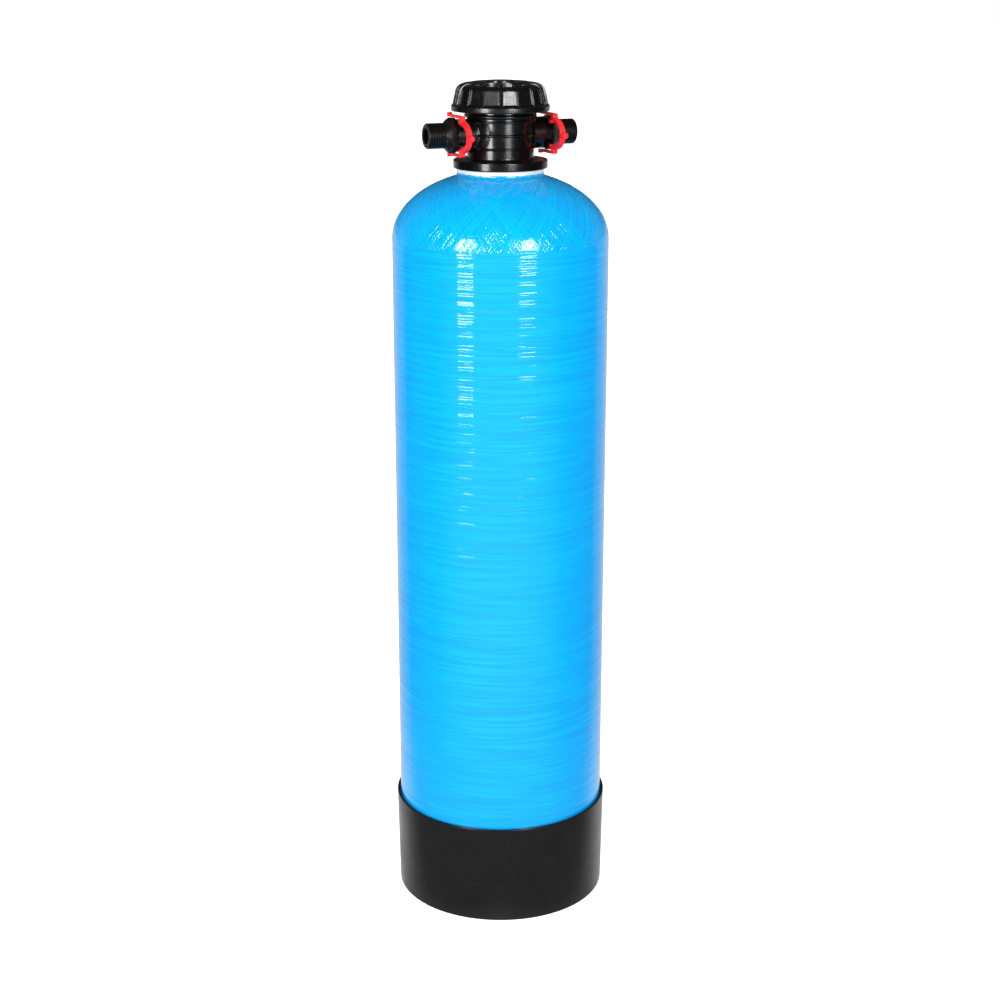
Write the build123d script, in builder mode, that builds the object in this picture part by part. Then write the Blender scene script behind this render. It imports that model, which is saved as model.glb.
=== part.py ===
from build123d import *
import math
import os

os.makedirs("parts", exist_ok=True)

# Driving dimensions in millimetres: z is up from the floor, and the two ports lie along x

# Wound vessel, with elliptical domes
vessel_radius = 115.5
dome_height = 72.0
cylinder_length = 662.0
floor_clearance = 14.0
shell_wall = 3.2
liner_wall = 2.8
bond_line = 0.1
neck_radius = 46.0
neck_length = 7.957
neck_fillet = 4.6
neck_ring_height = 4.2
neck_bore_radius = 36.5
neck_insert_wall = 5.5
neck_insert_length = 26.0
seal_recess_radius = 40.4
seal_recess_depth = 4.4
neck_ring_edge = 0.6

# Base boot
boot_height = 111.8
boot_base_radius = 117.2
boot_rim_radius = 119.3
boot_wall = 3.2
boot_floor = 4.0
boot_corner = 1.0
boot_rim_edge = 1.0
boot_hole_radius = 6.0
boot_rib_count = 8
boot_rib_thickness = 4.0
boot_rib_inner = 52.0
seat_clearance = 0.2

# Resin bed and riser
resin_freeboard = 10.0
resin_clearance = 0.2
riser_radius = 13.35
riser_wall = 2.6
riser_fit = 0.25

# Lower strainer, a ring-slotted basket with an end hub
basket_radius = 24.0
basket_wall = 2.0
basket_height = 66.0
basket_floor = 3.0
basket_foot_radius = 10.0
basket_foot_height = 3.5
basket_slot_count = 11
basket_slot_height = 1.6
basket_slot_pitch = 5.0
basket_rib_count = 6
basket_rib_width = 4.0
basket_rib_depth = 3.0
hub_height = 24.0
hub_flange = 3.0
hub_wall = 4.0
hub_lip = 3.0

# Upper strainer, a slotted cup below the head
cup_radius = 29.6
cup_wall = 2.0
cup_depth = 27.0
cup_floor = 2.4
cup_lip = 3.0
cup_lip_radius = 35.4
cup_slot_count = 20
cup_slot_width = 1.6
cup_slot_length = 18.0

# Head body, up the vessel axis
thread_gap = 0.3
spigot_length = 26.0
flange_radius = 49.9
flange_height = 9.3
flange_edge = 1.5
column_radius = 35.2
column_fillet = 2.5
port_rise = 35.2
ring_spacing = 13.75
ring_depth = 2.3
ring_height = 3.0
collar_rise = 19.2
collar_depth = 3.0
collar_height = 5.0
top_thread_radius = 40.7
top_thread_rise = 24.2
head_top_rise = 44.0
head_top_chamfer = 1.0
chamber_radius = 30.0
plug_bore_radius = 36.5
plug_bore_depth = 16.0
plug_bore_taper = 2.0
seal_fit = 0.2

# Riser socket inside the head, with the cross passage to the outlet
riser_socket_radius = 18.5
riser_socket_drop = 58.0
riser_socket_rise = 14.0
riser_engagement = 46.0
riser_seal_height = 12.0
riser_seal_section = 2.4
riser_seal_bore = 15.8
web_count = 3
web_thickness = 3.0
web_height = 36.0
cross_tube_radius = 12.5

# Side ports, each with a slotted socket
port_reach = 54.6
stub_radius = 16.5
stub_fillet = 3.0
mouth_radius = 18.2
mouth_width = 2.0
mouth_chamfer = 0.8
socket_radius = 13.1
socket_depth = 18.6
passage_radius = 8.5
slot_inset = 2.3
slot_width = 4.6
lens_reach = 5.2
lens_height = 2.6
lens_relief = 0.6
lug_wall = 1.2

# Port adapters with male pipe threads
adapter_fit = 0.25
adapter_end_gap = 0.5
mouth_gap = 0.3
waterway_radius = 8.3
hex_across_flats = 32.0
hex_length = 3.1
hex_cone_length = 5.3
hex_cone_radius = 19.0
thread_radius = 13.22
thread_length = 20.3
tip_chamfer = 1.2
adapter_seal_section = 2.2
adapter_seal_inset = 3.9
adapter_seal_pitch = 3.8
adapter_seal_floor = 10.7

# Securing clips
clip_play = 0.4
clip_width = 5.7
clip_offset = 2.05
arm_width = 4.9
arm_thickness = 2.4
arm_length = 14.5
hook_length = 3.0
hook_rise = 1.8
prong_width = 4.0
prong_inner = 11.0
prong_thickness = 3.2
prong_length = 12.0
knob_center = 22.2
knob_width = 6.1
knob_inner = 12.5
knob_round = 2.4
bow_depth = 22.6
bow_height = 16.5
bow_section = 3.6
nub_radius = 3.3
nub_length = 9.5
nub_round = 2.4
clip_edge = 0.5

# Screw cap
cap_bottom_rise = 23.7
cap_height = 29.0
cap_thread_gap = 0.3
rim_radius = 51.8
rim_height = 5.4
rim_round = 1.5
rim_step = 1.9
crest_base_radius = 50.3
crest_top_radius = 47.0
crest_top_rise = 22.2
shoulder_radius = 12.3
panel_base_radius = 46.9
panel_base_rise = 8.6
panel_top_radius = 43.9
panel_top_rise = 21.1
panel_shoulder = 5.5
cap_rib_count = 16
cap_rib_phase = 0.9
cap_rib_root = 5.2
cap_rib_crest = 2.8
cap_rib_edge = 0.6
cap_top_radius = 36.0
disc_radius = 29.7
disc_rise = 1.0
boss_radius = 16.9
boss_rise = 1.0

# Cap plug, carried by the cap on a snap post
plug_flange_radius = 39.4
plug_flange_thickness = 2.4
plug_lid_gap = 0.3
plug_wall = 5.0
plug_floor = 3.0
plug_seal_section = 2.2
plug_seal_rise = 6.5
plug_seal_floor = 34.0
post_radius = 6.2
post_head_radius = 7.9
post_head_height = 4.0
post_top_gap = 3.5
snap_fit = 0.3
snap_wall = 3.2
snap_lip = 3.2

# Heights and places worked out from the driving dimensions
lower_tangent = floor_clearance + dome_height
upper_tangent = lower_tangent + cylinder_length
neck_foot = upper_tangent + dome_height * math.sqrt(1 - (neck_radius / vessel_radius) ** 2)
neck_top = neck_foot + neck_length
shell_top = neck_top - neck_ring_height
port_z = neck_top + port_rise
flange_top = neck_top + flange_height
spigot_bottom = neck_top - spigot_length
head_top = port_z + head_top_rise
cap_bottom = port_z + cap_bottom_rise
cap_top = cap_bottom + cap_height
cap_ceiling_z = head_top + plug_flange_thickness + plug_lid_gap
liner_inset = shell_wall + bond_line
bed_inset = liner_inset + liner_wall
liner_floor = floor_clearance + bed_inset
insert_radius = neck_bore_radius + neck_insert_wall
spigot_radius = neck_bore_radius - thread_gap
riser_socket_bottom = port_z - riser_socket_drop
riser_top = riser_socket_bottom + riser_engagement
riser_bore_radius = riser_radius + riser_fit
floor_spread = basket_foot_radius / (vessel_radius - bed_inset)
foot_bottom = liner_floor + (dome_height - bed_inset) * (1 - math.sqrt(1 - floor_spread ** 2))
basket_bottom = foot_bottom + basket_foot_height
basket_top = basket_bottom + basket_height
slot_outer = port_reach - slot_inset
slot_inner = slot_outer - slot_width
slot_center = (slot_outer + slot_inner) / 2
slot_top = prong_inner + prong_thickness + clip_play
groove_radius = prong_inner - clip_play
adapter_radius = socket_radius - adapter_fit
socket_floor = port_reach - socket_depth
arm_inner = mouth_radius + clip_play
arm_outer = arm_inner + arm_thickness
plug_radius = plug_bore_radius - thread_gap
plug_bottom = head_top - plug_bore_depth + snap_fit
lug_reach = knob_center - knob_width / 2 - clip_play
sides = {"inlet": -1, "outlet": 1}
everywhere = 4 * vessel_radius + cylinder_length


def right_half():
    """Keep the part of the open section sketch on the positive side of the vessel axis."""
    Rectangle(everywhere, 2 * everywhere, align=(Align.MIN, Align.CENTER), mode=Mode.INTERSECT)


def vessel_outline(inset, mode=Mode.ADD):
    """Draw the vessel's closed section, moved inwards by inset, in the open sketch."""
    radius = vessel_radius - inset
    with Locations((0, lower_tangent)):
        Rectangle(2 * radius, cylinder_length, align=(Align.CENTER, Align.MIN), mode=mode)
    with Locations((0, lower_tangent), (0, upper_tangent)):
        Ellipse(radius, dome_height - inset, mode=mode)


def band(radius, bottom, top, mode=Mode.ADD):
    """Draw a rectangle from the vessel axis out to radius, between two heights."""
    with Locations((0, bottom)):
        Rectangle(radius, top - bottom, align=(Align.MIN, Align.MIN), mode=mode)


def finish(builder, label):
    """Label a finished piece and write it as a STEP file."""
    builder.part.label = label
    export_step(builder.part, f"parts/{label}.step")


def seal_ring(label, plane, section, mean_radius):
    """Make one O-ring, centred on a plane's origin and square to its normal."""
    with BuildPart(plane) as seal:
        Torus(mean_radius, section / 2)
    finish(seal, label)


def port_plane(side, reach):
    """Plane across a port's axis, with its normal pointing out of the port."""
    return Plane(origin=(side * reach, 0, port_z), x_dir=(0, side, 0), z_dir=(side, 0, 0))


# Glass-fibre winding over the liner, open at the neck
with BuildPart() as wound_shell:
    with BuildSketch(Plane.XZ):
        vessel_outline(0)
        band(neck_radius, upper_tangent, shell_top)
        vessel_outline(shell_wall, mode=Mode.SUBTRACT)
        band(insert_radius + bond_line, upper_tangent, neck_top, mode=Mode.SUBTRACT)
        band(everywhere, shell_top, neck_top, mode=Mode.SUBTRACT)
        right_half()
    revolve(axis=Axis.Z)
    crotch = wound_shell.edges().filter_by(GeomType.CIRCLE).filter_by(
        lambda edge: abs(edge.radius - neck_radius) < bond_line).sort_by(Axis.Z)[0]
    fillet(crotch, neck_fillet)
finish(wound_shell, "wound_shell")

# Moulded liner with its neck insert, and the ring that shows above the winding
with BuildPart() as vessel_liner:
    with BuildSketch(Plane.XZ):
        vessel_outline(liner_inset)
        vessel_outline(bed_inset, mode=Mode.SUBTRACT)
        band(insert_radius, neck_top - neck_insert_length, shell_top)
        band(neck_radius, shell_top, neck_top)
        band(neck_bore_radius, upper_tangent, neck_top, mode=Mode.SUBTRACT)
        band(seal_recess_radius, neck_top - seal_recess_depth, neck_top, mode=Mode.SUBTRACT)
        right_half()
    revolve(axis=Axis.Z)
    ring_edges = vessel_liner.edges().filter_by(GeomType.CIRCLE).filter_by(
        lambda edge: abs(edge.radius - neck_radius) < bond_line)
    fillet(ring_edges, neck_ring_edge)
finish(vessel_liner, "vessel_liner")

# Moulded base boot: a cup with a floor ring and ribs that carry the bottom dome
with BuildPart() as base_boot:
    with BuildSketch(Plane.XZ):
        with BuildLine():
            Polyline((0, 0), (boot_base_radius, 0), (boot_rim_radius, boot_height),
                     (0, boot_height), close=True)
        make_face()
    revolve(axis=Axis.Z)
    fillet(base_boot.edges().group_by(Axis.Z)[0], boot_corner)
    with BuildSketch(Plane.XZ):
        with BuildLine():
            Polyline((0, boot_floor), (boot_base_radius - boot_wall, boot_floor),
                     (boot_rim_radius - boot_wall, boot_height), (0, boot_height), close=True)
        make_face()
    revolve(axis=Axis.Z, mode=Mode.SUBTRACT)
    fillet(base_boot.edges().group_by(Axis.Z)[-1], boot_rim_edge)
    with BuildSketch(Plane.XY.offset(boot_floor)):
        with PolarLocations(0, boot_rib_count):
            with Locations((boot_rib_inner, 0)):
                Rectangle(boot_base_radius - boot_wall / 2 - boot_rib_inner, boot_rib_thickness,
                          align=(Align.MIN, Align.CENTER))
    extrude(amount=lower_tangent - boot_floor)
    with BuildSketch(Plane.XZ):
        vessel_outline(-seat_clearance)
        right_half()
    revolve(axis=Axis.Z, mode=Mode.SUBTRACT)
    with Locations((0, 0, boot_floor)):
        Hole(boot_hole_radius, depth=boot_floor)
finish(base_boot, "base_boot")

# Riser tube, from the lower strainer's hub up into the head
with BuildPart() as riser_tube:
    with BuildSketch(Plane.XY.offset(basket_top + hub_lip)):
        Circle(riser_radius)
        Circle(riser_radius - riser_wall, mode=Mode.SUBTRACT)
    extrude(amount=riser_top - basket_top - hub_lip)
finish(riser_tube, "riser_tube")

# Lower strainer basket: slotted rings tied together by upright ribs inside
with BuildPart() as strainer_basket:
    with BuildSketch(Plane.XY.offset(basket_bottom)):
        Circle(basket_radius)
    extrude(amount=basket_height)
    with BuildSketch(Plane.XY.offset(basket_bottom + basket_floor)):
        Circle(basket_radius - basket_wall)
    extrude(amount=basket_height, mode=Mode.SUBTRACT)
    first_slot = basket_bottom + (basket_height - (basket_slot_count - 1) * basket_slot_pitch) / 2
    for row in range(basket_slot_count):
        with BuildSketch(Plane.XY.offset(first_slot + row * basket_slot_pitch)):
            Circle(basket_radius)
            Circle(basket_radius - basket_wall, mode=Mode.SUBTRACT)
        extrude(amount=basket_slot_height / 2, both=True, mode=Mode.SUBTRACT)
    with BuildSketch(Plane.XY.offset(basket_bottom)):
        with PolarLocations(0, basket_rib_count):
            with Locations((basket_radius - basket_rib_depth, 0)):
                Rectangle(basket_rib_depth - basket_wall / 2, basket_rib_width,
                          align=(Align.MIN, Align.CENTER))
    extrude(amount=basket_height)
    with BuildSketch(Plane.XY.offset(foot_bottom)):
        Circle(basket_foot_radius)
    extrude(amount=basket_foot_height)
finish(strainer_basket, "strainer_basket")

# Hub that closes the basket and holds the riser's lower end
with BuildPart() as strainer_hub:
    with BuildSketch(Plane.XZ):
        band(basket_radius, basket_top, basket_top + hub_flange)
        band(riser_bore_radius + hub_wall, basket_top, basket_top + hub_height)
        band(riser_radius - riser_wall, basket_top, basket_top + hub_lip, mode=Mode.SUBTRACT)
        band(riser_bore_radius, basket_top + hub_lip, basket_top + hub_height, mode=Mode.SUBTRACT)
    revolve(axis=Axis.Z)
finish(strainer_hub, "strainer_hub")

# Mixed resin bed around the strainer and riser
with BuildPart() as resin_bed:
    with BuildSketch(Plane.XZ):
        vessel_outline(bed_inset + resin_clearance)
        band(everywhere, upper_tangent - resin_freeboard, neck_top + everywhere, mode=Mode.SUBTRACT)
        band(basket_radius + resin_clearance, 0, basket_top + hub_flange + resin_clearance,
             mode=Mode.SUBTRACT)
        band(riser_bore_radius + hub_wall + resin_clearance, basket_top,
             basket_top + hub_height + resin_clearance, mode=Mode.SUBTRACT)
        band(riser_radius + resin_clearance, basket_top, neck_top, mode=Mode.SUBTRACT)
        right_half()
    revolve(axis=Axis.Z)
finish(resin_bed, "resin_bed")

# Upper strainer: a slotted cup that hangs below the head, around the riser
with BuildPart() as upper_strainer:
    with BuildSketch(Plane.XZ):
        band(cup_lip_radius, spigot_bottom - cup_lip, spigot_bottom)
        band(cup_radius, spigot_bottom - cup_depth, spigot_bottom + cup_lip)
        band(cup_radius - cup_wall, spigot_bottom - cup_depth + cup_floor, spigot_bottom + cup_lip,
             mode=Mode.SUBTRACT)
        band(riser_bore_radius, spigot_bottom - cup_depth, spigot_bottom, mode=Mode.SUBTRACT)
    revolve(axis=Axis.Z)
    with BuildSketch(Plane.XY.offset(spigot_bottom - cup_depth + cup_floor)):
        with PolarLocations(cup_radius - cup_wall / 2, cup_slot_count):
            Rectangle(2 * cup_wall, cup_slot_width)
    extrude(amount=cup_slot_length, mode=Mode.SUBTRACT)
finish(upper_strainer, "upper_strainer")

# Head body: neck spigot, flange, ringed column, two slotted sockets and the cap's thread
with BuildPart() as head_body:
    with BuildSketch(Plane.XZ):
        band(spigot_radius, spigot_bottom, neck_top)
        band(flange_radius, neck_top, flange_top)
        band(column_radius, flange_top, head_top)
        band(top_thread_radius, port_z + top_thread_rise, head_top)
    revolve(axis=Axis.Z)
    flange_rims = head_body.edges().filter_by(GeomType.CIRCLE).filter_by(
        lambda edge: abs(edge.radius - flange_radius) < bond_line)
    fillet(flange_rims, flange_edge)
    column_foot = head_body.edges().filter_by(GeomType.CIRCLE).filter_by(
        lambda edge: abs(edge.radius - column_radius) < bond_line).sort_by(Axis.Z)[0]
    fillet(column_foot, column_fillet)
    chamfer(head_body.edges().group_by(Axis.Z)[-1], head_top_chamfer)

    # Port stubs, blended into the column before its rings go on
    for side in sides.values():
        with BuildSketch(port_plane(side, 0)):
            Circle(stub_radius)
        extrude(amount=port_reach - mouth_width)
    blend = head_body.edges().filter_by(
        lambda edge: edge.geom_type not in (GeomType.LINE, GeomType.CIRCLE))
    fillet(blend, stub_fillet)
    for side in sides.values():
        with BuildSketch(port_plane(side, port_reach - mouth_width)):
            Circle(mouth_radius)
        extrude(amount=mouth_width)
        with BuildSketch(Plane(origin=(side * slot_center, 0, port_z), x_dir=(1, 0, 0), z_dir=(0, -1, 0))):
            with GridLocations(0, groove_radius + slot_top, 1, 2):
                Rectangle(slot_width + 2 * lug_wall, slot_top - groove_radius + 2 * lug_wall)
        extrude(amount=lug_reach)

    # Rings round the column, and the collar under the cap
    with BuildSketch(Plane.XZ):
        with Locations(*[(column_radius, port_z + step * ring_spacing) for step in (-1, 0, 1)]):
            Ellipse(ring_depth, ring_height / 2)
        with Locations((column_radius, port_z + collar_rise)):
            Ellipse(collar_depth, collar_height / 2)
    revolve(axis=Axis.Z)

    # The middle ring runs out along the front and back of each stub
    for side in sides.values():
        for face in (-1, 1):
            with BuildSketch(Plane(origin=(side * column_radius, face * (stub_radius + lens_relief), port_z),
                                   x_dir=(1, 0, 0), z_dir=(0, face, 0))):
                SlotCenterToCenter(2 * lens_reach, lens_height)
            extrude(amount=-stub_radius / 2)

    # Water chamber, open below, and the plug's bore above it
    with BuildSketch(Plane.XZ):
        band(chamber_radius, spigot_bottom, head_top)
        band(plug_bore_radius, head_top - plug_bore_depth, head_top)
        with BuildLine():
            Polyline((0, head_top - plug_bore_depth), (plug_bore_radius, head_top - plug_bore_depth),
                     (chamber_radius, head_top - plug_bore_depth - plug_bore_taper),
                     (0, head_top - plug_bore_depth - plug_bore_taper), close=True)
        make_face()
    revolve(axis=Axis.Z, mode=Mode.SUBTRACT)

    # Riser socket on the axis, with webs to the chamber wall and a tube across to the outlet
    with BuildSketch(Plane.XY.offset(riser_socket_bottom)):
        Circle(riser_socket_radius)
    extrude(amount=riser_socket_drop + riser_socket_rise)
    with BuildSketch(port_plane(sides["outlet"], 0)):
        Circle(cross_tube_radius)
    extrude(amount=column_radius - stub_fillet)
    with BuildSketch(Plane.XY.offset(riser_socket_bottom)):
        with PolarLocations(0, web_count, start_angle=90):
            with Locations((riser_bore_radius, 0)):
                Rectangle(chamber_radius + web_thickness - riser_bore_radius, web_thickness,
                          align=(Align.MIN, Align.CENTER))
    extrude(amount=web_height)
    with BuildSketch(Plane.XZ):
        band(riser_bore_radius, riser_socket_bottom, riser_top)
        band(passage_radius, riser_top, port_z)
        band(riser_seal_bore, riser_socket_bottom + riser_seal_height,
             riser_socket_bottom + riser_seal_height + riser_seal_section + seal_fit)
    revolve(axis=Axis.Z, mode=Mode.SUBTRACT)

    # Passages, sockets and the clip slots through each socket's wall
    with BuildSketch(port_plane(sides["outlet"], 0)):
        Circle(passage_radius)
    extrude(amount=port_reach, mode=Mode.SUBTRACT)
    with BuildSketch(port_plane(sides["inlet"], riser_socket_radius + riser_fit)):
        Circle(passage_radius)
    extrude(amount=port_reach, mode=Mode.SUBTRACT)
    for side in sides.values():
        with BuildSketch(port_plane(side, socket_floor)):
            Circle(socket_radius)
        extrude(amount=socket_depth, mode=Mode.SUBTRACT)
        mouth_edge = head_body.edges().filter_by(GeomType.CIRCLE).filter_by(
            lambda edge: abs(edge.radius - socket_radius) < bond_line
            and edge.center().X * side > port_reach - mouth_width)
        chamfer(mouth_edge, mouth_chamfer)
        with BuildSketch(Plane(origin=(side * slot_center, 0, port_z), x_dir=(1, 0, 0), z_dir=(0, 1, 0))):
            with GridLocations(0, groove_radius + slot_top, 1, 2):
                Rectangle(slot_width, slot_top - groove_radius)
        extrude(amount=lug_reach + clip_play, both=True, mode=Mode.SUBTRACT)
finish(head_body, "head_body")

# Plug under the screw cap: a cup with a resting flange, a seal groove and the snap post
with BuildPart() as cap_plug:
    with BuildSketch(Plane.XZ):
        band(plug_radius, plug_bottom, head_top)
        band(plug_flange_radius, head_top, head_top + plug_flange_thickness)
        band(plug_radius - plug_wall, plug_bottom + plug_floor, head_top + plug_flange_thickness,
             mode=Mode.SUBTRACT)
        band(post_radius, plug_bottom, head_top)
        post_top = head_top + plug_flange_thickness - post_top_gap
        band(post_head_radius, post_top - post_head_height, post_top)
        band(post_radius - snap_fit, post_top, head_top, mode=Mode.SUBTRACT)
        seal_z = plug_bottom + plug_seal_rise
        groove_height = plug_seal_section + seal_fit
        with Locations((plug_seal_floor, seal_z)):
            Rectangle(plug_radius, groove_height, align=(Align.MIN, Align.CENTER), mode=Mode.SUBTRACT)
    revolve(axis=Axis.Z)
finish(cap_plug, "cap_plug")

# Screw cap: panels between upright ribs, a rolled rim and a stepped top
rib_start = panel_top_radius - 2 * panel_shoulder
with BuildPart() as cap_ribs:
    with BuildSketch(Plane.XZ):
        with BuildLine():
            Polyline((0, cap_bottom + rim_height), (crest_base_radius, cap_bottom + rim_height),
                     (crest_base_radius, cap_bottom + rim_height + rim_step),
                     (crest_top_radius, cap_bottom + crest_top_rise))
            RadiusArc((crest_top_radius, cap_bottom + crest_top_rise), (cap_top_radius, cap_top),
                      -shoulder_radius)
            Polyline((cap_top_radius, cap_top), (0, cap_top), (0, cap_bottom + rim_height))
        make_face()
    revolve(axis=Axis.Z)
    with BuildSketch(Plane.XY.offset(cap_bottom)):
        with PolarLocations(0, cap_rib_count, start_angle=cap_rib_phase):
            Polygon((rib_start, -cap_rib_root / 2), (rim_radius, -cap_rib_crest / 2),
                    (rim_radius, cap_rib_crest / 2), (rib_start, cap_rib_root / 2), align=None)
    extrude(amount=cap_height, mode=Mode.INTERSECT)

with BuildPart() as screw_cap:
    with BuildSketch(Plane.XZ):
        with BuildLine():
            Polyline((0, cap_bottom), (rim_radius, cap_bottom), (rim_radius, cap_bottom + rim_height),
                     (crest_base_radius, cap_bottom + rim_height + rim_step),
                     (panel_base_radius, cap_bottom + panel_base_rise),
                     (panel_top_radius, cap_bottom + panel_top_rise))
            RadiusArc((panel_top_radius, cap_bottom + panel_top_rise),
                      (panel_top_radius - panel_shoulder, cap_bottom + panel_top_rise + panel_shoulder),
                      -panel_shoulder)
            Polyline((panel_top_radius - panel_shoulder, cap_bottom + panel_top_rise + panel_shoulder),
                     (cap_top_radius, cap_bottom + panel_top_rise + panel_shoulder),
                     (cap_top_radius, cap_top), (0, cap_top), (0, cap_bottom))
        make_face()
        band(disc_radius, cap_bottom, cap_top + disc_rise)
        band(boss_radius, cap_bottom, cap_top + disc_rise + boss_rise)
    revolve(axis=Axis.Z)
    fillet(screw_cap.edges().group_by(Axis.Z)[0], rim_round)
    add(cap_ribs.part)
    rib_foot = cap_bottom + rim_height + rim_step
    rib_edges = screw_cap.edges().filter_by(
        lambda edge: edge.geom_type != GeomType.LINE and edge.length > 5 * rim_step / 2
        and (edge @ 0.5).Z > rib_foot + clip_edge
        and math.hypot((edge @ 0.5).X, (edge @ 0.5).Y) > cap_top_radius + 1
        and abs((edge @ 0).Z - (edge @ 1).Z) > 1)
    fillet(rib_edges, cap_rib_edge)
    with BuildSketch(Plane.XZ):
        band(top_thread_radius + cap_thread_gap, cap_bottom, cap_ceiling_z)
    revolve(axis=Axis.Z, mode=Mode.SUBTRACT)
    with BuildSketch(Plane.XZ):
        snap_bottom = post_top - post_head_height - snap_fit - snap_lip
        band(post_head_radius + snap_fit + snap_wall, snap_bottom, cap_ceiling_z)
        band(post_head_radius + snap_fit, snap_bottom, cap_ceiling_z, mode=Mode.SUBTRACT)
        band(post_head_radius + snap_fit, snap_bottom, snap_bottom + snap_lip)
        band(post_radius + snap_fit, snap_bottom, snap_bottom + snap_lip, mode=Mode.SUBTRACT)
    revolve(axis=Axis.Z)
finish(screw_cap, "screw_cap")

# Adapters: sealed spigot with a clip groove, hex flange and male pipe thread
for name, side in sides.items():
    spigot_end = socket_floor + adapter_end_gap
    hex_start = port_reach + mouth_gap
    cone_start = hex_start + hex_length
    thread_start = cone_start + hex_cone_length
    tip = thread_start + thread_length
    port_axis = Axis((0, 0, port_z), (1, 0, 0))
    with BuildPart() as adapter:
        with BuildSketch(port_plane(side, hex_start)):
            RegularPolygon(hex_across_flats / 2, 6, major_radius=False, rotation=30)
        extrude(amount=hex_length + hex_cone_length)
        with BuildSketch(Plane.XZ):
            with BuildLine():
                Polyline((side * hex_start, port_z), (side * hex_start, port_z + hex_cone_radius),
                         (side * cone_start, port_z + hex_cone_radius),
                         (side * thread_start, port_z + thread_radius),
                         (side * thread_start, port_z), close=True)
            make_face()
        revolve(axis=port_axis, mode=Mode.INTERSECT)
        with BuildSketch(port_plane(side, spigot_end)):
            Circle(adapter_radius)
        extrude(amount=hex_start - spigot_end)
        with BuildSketch(port_plane(side, thread_start)):
            Circle(thread_radius)
        extrude(amount=thread_length)
        ends = adapter.edges().filter_by(GeomType.CIRCLE).sort_by(Axis.X)
        chamfer([ends[0], ends[-1]], tip_chamfer)
        with BuildSketch(port_plane(side, slot_inner)):
            Circle(thread_radius)
            Circle(groove_radius, mode=Mode.SUBTRACT)
        extrude(amount=slot_width, mode=Mode.SUBTRACT)
        for order in range(2):
            seal_reach = socket_floor + adapter_seal_inset + order * adapter_seal_pitch
            with BuildSketch(port_plane(side, seal_reach)):
                Circle(thread_radius)
                Circle(adapter_seal_floor, mode=Mode.SUBTRACT)
            extrude(amount=(adapter_seal_section + seal_fit) / 2, both=True, mode=Mode.SUBTRACT)
        with BuildSketch(port_plane(side, spigot_end)):
            Circle(waterway_radius)
        extrude(amount=tip - spigot_end, mode=Mode.SUBTRACT)
    finish(adapter, f"{name}_adapter")
    for order, place in enumerate(("inner", "outer")):
        seal_reach = socket_floor + adapter_seal_inset + order * adapter_seal_pitch
        seal_ring(f"{name}_o_ring_{place}", port_plane(side, seal_reach), adapter_seal_section,
                  adapter_seal_floor + adapter_seal_section / 2)

# Securing clips: finger bow, two posts, outer arms with hooks, and prongs into the slots
clip_center = slot_center + clip_offset
with BuildPart() as outlet_clip:
    # Sketch x runs to the back, so the bow and the posts are at negative x
    with BuildSketch(port_plane(sides["outlet"], clip_center)):
        with Locations((-knob_center, 0)):
            Ellipse(bow_depth, bow_height)
            Ellipse(bow_depth - bow_section, bow_height - bow_section, mode=Mode.SUBTRACT)
            Rectangle(2 * bow_depth, 2 * bow_height, align=(Align.MAX, Align.CENTER), mode=Mode.INTERSECT)
        with Locations(*[(-knob_center, end * (arm_outer + knob_inner) / 2) for end in (-1, 1)]):
            RectangleRounded(knob_width, arm_outer - knob_inner, knob_round)
    extrude(amount=clip_width / 2, both=True)
    outline = outlet_clip.edges().filter_by(
        lambda edge: abs((edge @ 0.5).X - clip_center) > clip_width / 2 - bond_line
        and abs((edge @ 0).X - (edge @ 1).X) < bond_line)
    fillet(outline, clip_edge)
    with BuildSketch(port_plane(sides["outlet"], clip_center)):
        with Locations(*[(-knob_center, end * (arm_inner + arm_outer) / 2) for end in (-1, 1)]):
            Rectangle(knob_center + arm_length, arm_thickness, align=(Align.MIN, Align.CENTER))
        hook_middle = (arm_inner + arm_outer + hook_rise) / 2
        with Locations(*[(arm_length, end * hook_middle) for end in (-1, 1)]):
            Rectangle(hook_length, hook_rise + arm_thickness, align=(Align.MAX, Align.CENTER))
    extrude(amount=arm_width / 2, both=True)
    with BuildSketch(port_plane(sides["outlet"], slot_center)):
        with Locations(*[(-knob_center, end * (prong_inner + prong_thickness / 2)) for end in (-1, 1)]):
            Rectangle(knob_center + prong_length, prong_thickness, align=(Align.MIN, Align.CENTER))
    extrude(amount=prong_width / 2, both=True)
    with BuildSketch(Plane(origin=(clip_center, -knob_center - bow_depth + bow_section / 2, port_z),
                           x_dir=(1, 0, 0), z_dir=(0, -1, 0))):
        Circle(nub_radius)
    extrude(amount=nub_length)
    fillet(outlet_clip.edges().group_by(Axis.Y)[0], nub_round)
finish(outlet_clip, "outlet_clip")
with BuildPart() as inlet_clip:
    mirror(outlet_clip.part, about=Plane.YZ)
finish(inlet_clip, "inlet_clip")

# Seals on the vessel axis
seal_ring("neck_o_ring", Plane.XY.offset(neck_top - seal_recess_depth / 2),
          seal_recess_radius - spigot_radius - seal_fit, (seal_recess_radius + spigot_radius) / 2)
seal_ring("riser_o_ring",
          Plane.XY.offset(riser_socket_bottom + riser_seal_height + (riser_seal_section + seal_fit) / 2),
          riser_seal_section, riser_radius + riser_seal_section / 2)
seal_ring("cap_o_ring", Plane.XY.offset(seal_z), plug_seal_section,
          plug_seal_floor + plug_seal_section / 2)
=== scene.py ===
"""Looks of the demineralizer cartridge: winding relief, threads, finishes, light and camera."""

from __future__ import annotations

import logging
import math
from dataclasses import dataclass
from enum import Enum

import bpy
from mathutils import Euler, Matrix, Vector


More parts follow.
